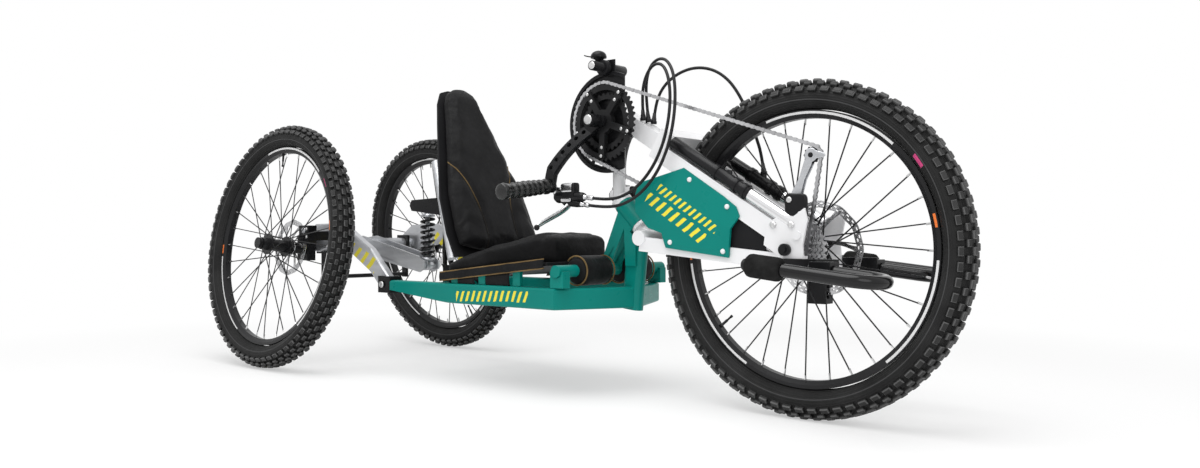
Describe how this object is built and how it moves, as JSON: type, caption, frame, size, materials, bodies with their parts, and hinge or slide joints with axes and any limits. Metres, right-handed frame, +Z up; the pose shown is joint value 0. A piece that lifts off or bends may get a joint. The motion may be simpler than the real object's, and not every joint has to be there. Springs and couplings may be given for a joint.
{
  "type": "off-road handcycle tricycle",
  "caption": "Low recumbent handcycle for rough ground: cambered rear wheels on swing arms, padded seat, and a front fork with hand crank, chain drive, struts and leg rests.",
  "frame": {"origin": "on the floor, midway along and across the vehicle", "axes": "+X forward, +Y to the rider's left, +Z up"},
  "size_m": [2.186, 0.7416, 0.802],
  "materials": {
    "green_paint": "semi-gloss teal green paint",
    "white_paint": "gloss white paint",
    "silver_metal": "satin bare aluminium",
    "black_metal": "satin black anodised",
    "steel": "brushed steel",
    "tyre_rubber": "knobbly black rubber",
    "black_plastic": "matt black plastic",
    "foam": "black foam rubber",
    "fabric": "black woven seat fabric with brown piping"
  },
  "bodies": {
    "chassis": {"side_rails": "green_paint", "front_post": "green_paint", "head_tube": "green_paint", "head_plates": "green_paint", "frame_cross_tubes": "green_paint", "seat_tabs": "green_paint", "seat_tray": "black_plastic", "seat_cushion": "fabric", "leg_roll": "fabric", "backrest_cushion": "fabric", "backrest_shell": "black_plastic", "backrest_edge_tubes": "silver_metal", "back_posts": "black_metal", "rear_pivot_brackets": "black_metal", "swing_arms": "silver_metal", "rear_axle_tube": "silver_metal", "tie_bar": "black_metal", "shock_yoke": "silver_metal", "rear_shock": "silver_metal", "stub_axles": "black_metal", "rear_calipers": "black_metal"},
    "fork": {"steerer_mast": "white_paint", "upper_stays": "white_paint", "lower_stays": "white_paint", "fork_webs": "black_plastic", "side_panels": "green_paint", "dropouts": "silver_metal", "strut_tubes": "silver_metal", "strut_bodies": "black_metal", "front_axle": "black_metal", "leg_rest_loops": "black_metal", "leg_rest_foams": "foam", "leg_rest_brackets": "black_metal", "chain_guard": "black_plastic", "accessory_bar": "black_metal", "bell": "black_metal", "derailleur_body": "black_metal", "derailleur_cage": "silver_metal", "chain": "steel", "front_caliper": "black_metal", "lever_hoses": "black_plastic", "strut_hose": "black_plastic"},
    "crank": {"crank_axle": "black_metal", "chainrings": "black_metal", "crank_arms": "black_metal", "grips": "foam", "control_levers": "black_metal"},
    "front_wheel": {"tyre_front": "tyre_rubber", "rim_front": "black_metal", "hub_front": "black_metal", "disc_front": "steel", "cassette": "steel"},
    "rear_right_wheel": {"tyre_rear_right": "tyre_rubber", "rim_rear_right": "black_metal", "hub_rear_right": "black_metal", "disc_rear_right": "steel"},
    "rear_left_wheel": {"tyre_rear_left": "tyre_rubber", "rim_rear_left": "black_metal", "hub_rear_left": "black_metal", "disc_rear_left": "steel"}
  },
  "joints": [
    {"name": "steering", "type": "hinge", "parent": "chassis", "child": "fork", "pos_m": [0.3, 0, 0.42], "axis": [-0.7071, 0, 0.7071], "range_deg": [-25, 25]},
    {"name": "front_wheel_spin", "type": "hinge", "parent": "fork", "child": "front_wheel", "pos_m": [0.75, 0, 0.343], "axis": [0, 1, 0], "continuous": true},
    {"name": "crank_spin", "type": "hinge", "parent": "fork", "child": "crank", "pos_m": [0.258, 0, 0.634], "axis": [0, 1, 0], "continuous": true, "deforming": ["lever_hoses"]},
    {"name": "rear_right_spin", "type": "hinge", "parent": "chassis", "child": "rear_right_wheel", "pos_m": [-0.75, -0.295, 0.34175], "axis": [0, 0.9903, -0.1392], "continuous": true},
    {"name": "rear_left_spin", "type": "hinge", "parent": "chassis", "child": "rear_left_wheel", "pos_m": [-0.75, 0.295, 0.34175], "axis": [0, 0.9903, 0.1392], "continuous": true}
  ]
}
